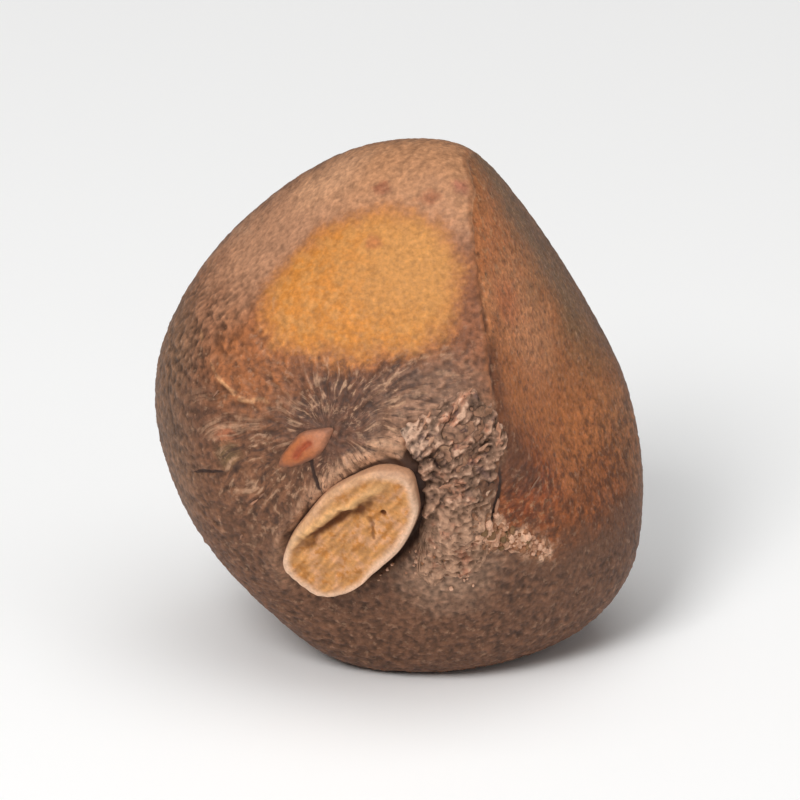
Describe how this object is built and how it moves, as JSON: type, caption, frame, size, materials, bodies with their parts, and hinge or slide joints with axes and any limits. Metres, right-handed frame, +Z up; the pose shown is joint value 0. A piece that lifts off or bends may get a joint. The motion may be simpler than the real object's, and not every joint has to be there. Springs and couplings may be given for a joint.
{
  "type": "camellia tea seed",
  "caption": "Dried camellia tea seed, a rounded nut with pressed flats, a crisp ridge, a raised oval scar and a rough cork patch.",
  "frame": {"origin": "middle of the bounding box at its base, on the plane that the seed rests on", "axes": "+Z up, -Y the front, where the scar shows, +X to the right as seen from the front"},
  "size_m": [0.0208, 0.0185, 0.0224],
  "materials": {
    "coat": "dry woody seed coat, dull brown with a paler orange patch, a tan scar and grey cork"
  },
  "bodies": {
    "root": {"seed": "coat"}
  },
  "joints": []
}
